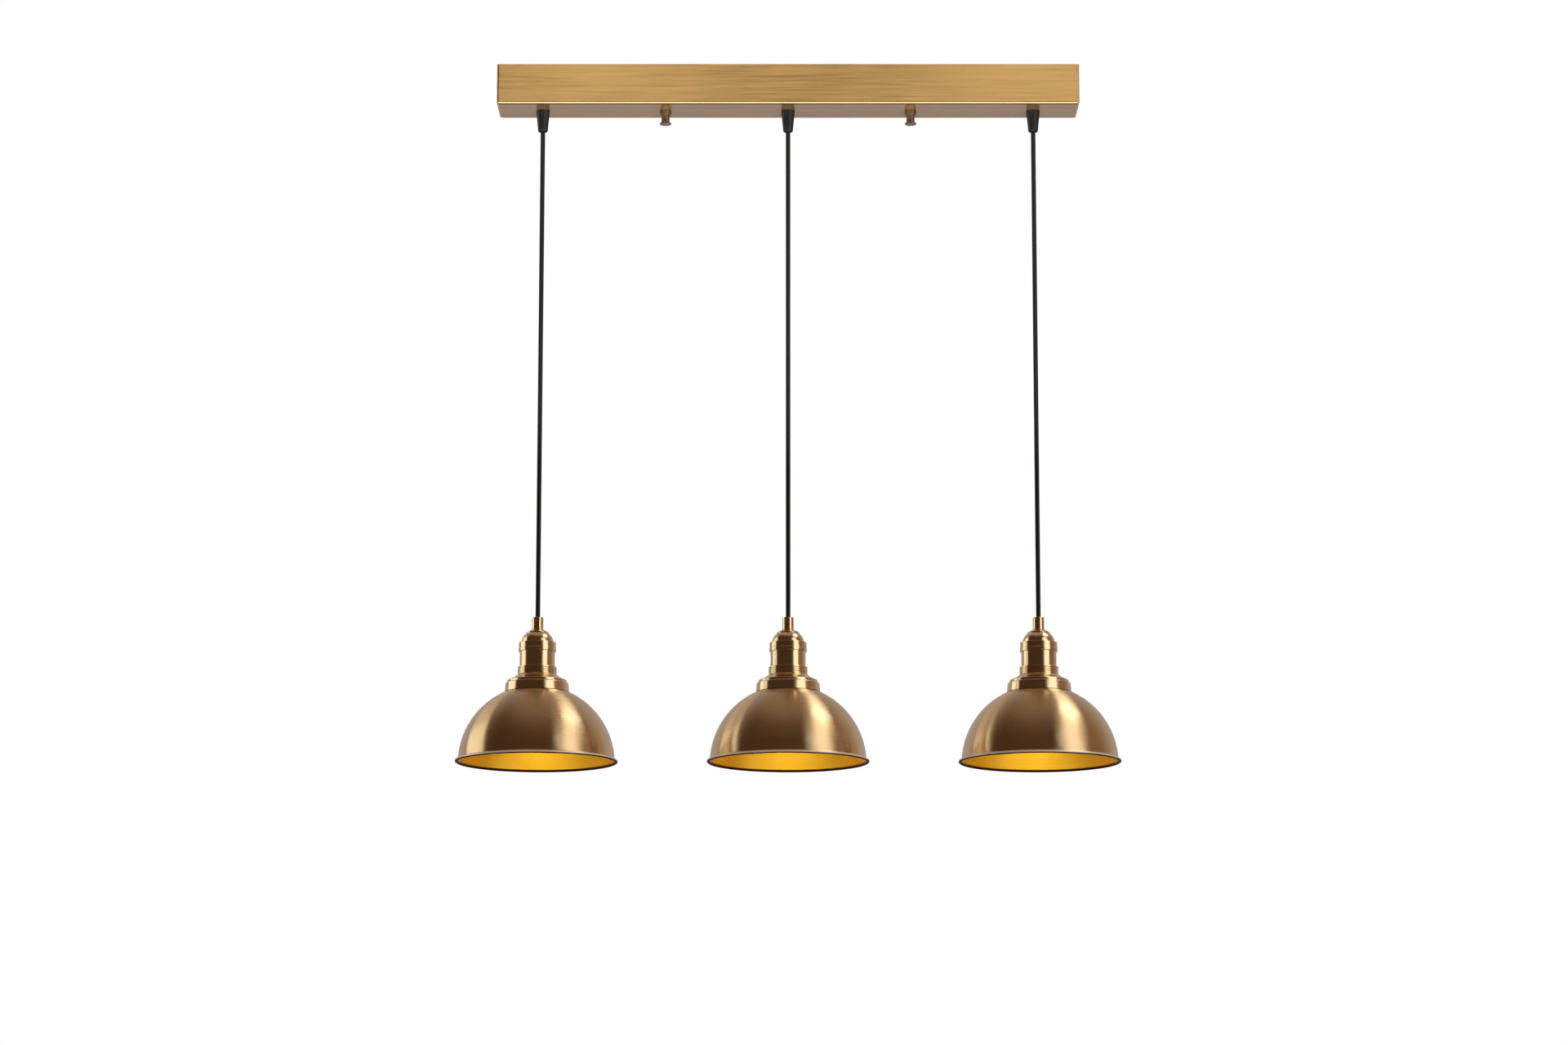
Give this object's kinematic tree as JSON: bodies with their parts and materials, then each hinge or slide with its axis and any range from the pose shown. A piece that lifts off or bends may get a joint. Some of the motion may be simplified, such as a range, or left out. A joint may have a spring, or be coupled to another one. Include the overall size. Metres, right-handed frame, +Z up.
{
  "type": "linear pendant ceiling lamp",
  "caption": "Linear pendant light: a long brushed-brass box canopy carries straight black cords, each with a stepped brass lamp holder and a hemispherical brass shade.",
  "frame": {"origin": "on the ceiling, at the middle of the slotted bracket and of the canopy", "axes": "+X along the canopy, -Y towards the front, +Z up towards the ceiling"},
  "size_m": [0.794, 0.194, 0.8535],
  "materials": {
    "canopy_brass": "brushed along its length, lacquered",
    "shade_brass": "spun, brushed in rings, lacquered, golden inside",
    "polished_brass": "turned and polished",
    "plated_brass": "plain, as plated",
    "zinc_steel": "zinc plated",
    "black_nylon": "moulded, satin",
    "black_cord": "smooth satin sheath",
    "white_nylon": "moulded, translucent",
    "white_ceramic": "glazed porcelain",
    "brown_insulation": "smooth insulation",
    "blue_insulation": "smooth insulation",
    "green_insulation": "smooth insulation, green and yellow"
  },
  "bodies": {
    "canopy": {"canopy_housing": "canopy_brass", "ceiling_bracket": "zinc_steel", "bracket_studs": "zinc_steel", "stud_lock_nuts": "zinc_steel", "grip_lock_nuts": "plated_brass", "grip_clamp_screws": "black_nylon", "terminal_block": "white_nylon", "terminal_screws": "zinc_steel", "block_screws": "zinc_steel", "live_cores": "brown_insulation", "neutral_cores": "blue_insulation", "earth_cores": "green_insulation", "cord_grip_left": "black_nylon", "cord_grip_middle": "black_nylon", "cord_grip_right": "black_nylon", "cord_tail_left": "black_cord", "cord_tail_middle": "black_cord", "cord_tail_right": "black_cord"},
    "thumb_nut_left": {"thumb_nut_left": "polished_brass"},
    "thumb_nut_right": {"thumb_nut_right": "polished_brass"},
    "bend_left": {"cord_bend_left": "black_cord"},
    "lamp_left": {"cord_left": "black_cord", "ferrule_left": "polished_brass", "ferrule_screw_left": "plated_brass", "socket_cap_left": "polished_brass", "socket_shell_left": "polished_brass", "shade_ring_left": "polished_brass", "gallery_left": "polished_brass", "shade_left": "shade_brass", "lamp_holder_left": "white_ceramic", "screw_shell_left": "plated_brass", "centre_contact_left": "plated_brass"},
    "retainer_left": {"retaining_ring_left": "plated_brass"},
    "bend_middle": {"cord_bend_middle": "black_cord"},
    "lamp_middle": {"cord_middle": "black_cord", "ferrule_middle": "polished_brass", "ferrule_screw_middle": "plated_brass", "socket_cap_middle": "polished_brass", "socket_shell_middle": "polished_brass", "shade_ring_middle": "polished_brass", "gallery_middle": "polished_brass", "shade_middle": "shade_brass", "lamp_holder_middle": "white_ceramic", "screw_shell_middle": "plated_brass", "centre_contact_middle": "plated_brass"},
    "retainer_middle": {"retaining_ring_middle": "plated_brass"},
    "bend_right": {"cord_bend_right": "black_cord"},
    "lamp_right": {"cord_right": "black_cord", "ferrule_right": "polished_brass", "ferrule_screw_right": "plated_brass", "socket_cap_right": "polished_brass", "socket_shell_right": "polished_brass", "shade_ring_right": "polished_brass", "gallery_right": "polished_brass", "shade_right": "shade_brass", "lamp_holder_right": "white_ceramic", "screw_shell_right": "plated_brass", "centre_contact_right": "plated_brass"},
    "retainer_right": {"retaining_ring_right": "plated_brass"}
  },
  "joints": [
    {"name": "thumb_nut_left_turn", "type": "hinge", "parent": "canopy", "child": "thumb_nut_left", "pos_m": [-0.15, 0, -0.058], "axis": [0, 0, 1], "continuous": true},
    {"name": "thumb_nut_right_turn", "type": "hinge", "parent": "canopy", "child": "thumb_nut_right", "pos_m": [0.15, 0, -0.058], "axis": [0, 0, 1], "continuous": true},
    {"name": "left_swing_front_back", "type": "hinge", "parent": "canopy", "child": "bend_left", "pos_m": [-0.3, 0, -0.08], "axis": [1, 0, 0], "range_deg": [-40, 40]},
    {"name": "left_swing_sideways", "type": "hinge", "parent": "bend_left", "child": "lamp_left", "pos_m": [-0.3, 0, -0.137], "axis": [0, 1, 0], "range_deg": [-3.5, 30]},
    {"name": "left_retaining_ring_turn", "type": "hinge", "parent": "lamp_left", "child": "retainer_left", "pos_m": [-0.3, 0, -0.77124], "axis": [0, 0, 1], "continuous": true},
    {"name": "middle_swing_front_back", "type": "hinge", "parent": "canopy", "child": "bend_middle", "pos_m": [0, 0, -0.08], "axis": [1, 0, 0], "range_deg": [-40, 40]},
    {"name": "middle_swing_sideways", "type": "hinge", "parent": "bend_middle", "child": "lamp_middle", "pos_m": [0, 0, -0.137], "axis": [0, 1, 0], "range_deg": [-3.5, 3.5]},
    {"name": "middle_retaining_ring_turn", "type": "hinge", "parent": "lamp_middle", "child": "retainer_middle", "pos_m": [0, 0, -0.77124], "axis": [0, 0, 1], "continuous": true},
    {"name": "right_swing_front_back", "type": "hinge", "parent": "canopy", "child": "bend_right", "pos_m": [0.3, 0, -0.08], "axis": [1, 0, 0], "range_deg": [-40, 40]},
    {"name": "right_swing_sideways", "type": "hinge", "parent": "bend_right", "child": "lamp_right", "pos_m": [0.3, 0, -0.137], "axis": [0, 1, 0], "range_deg": [-30, 3.5]},
    {"name": "right_retaining_ring_turn", "type": "hinge", "parent": "lamp_right", "child": "retainer_right", "pos_m": [0.3, 0, -0.77124], "axis": [0, 0, 1], "continuous": true}
  ]
}
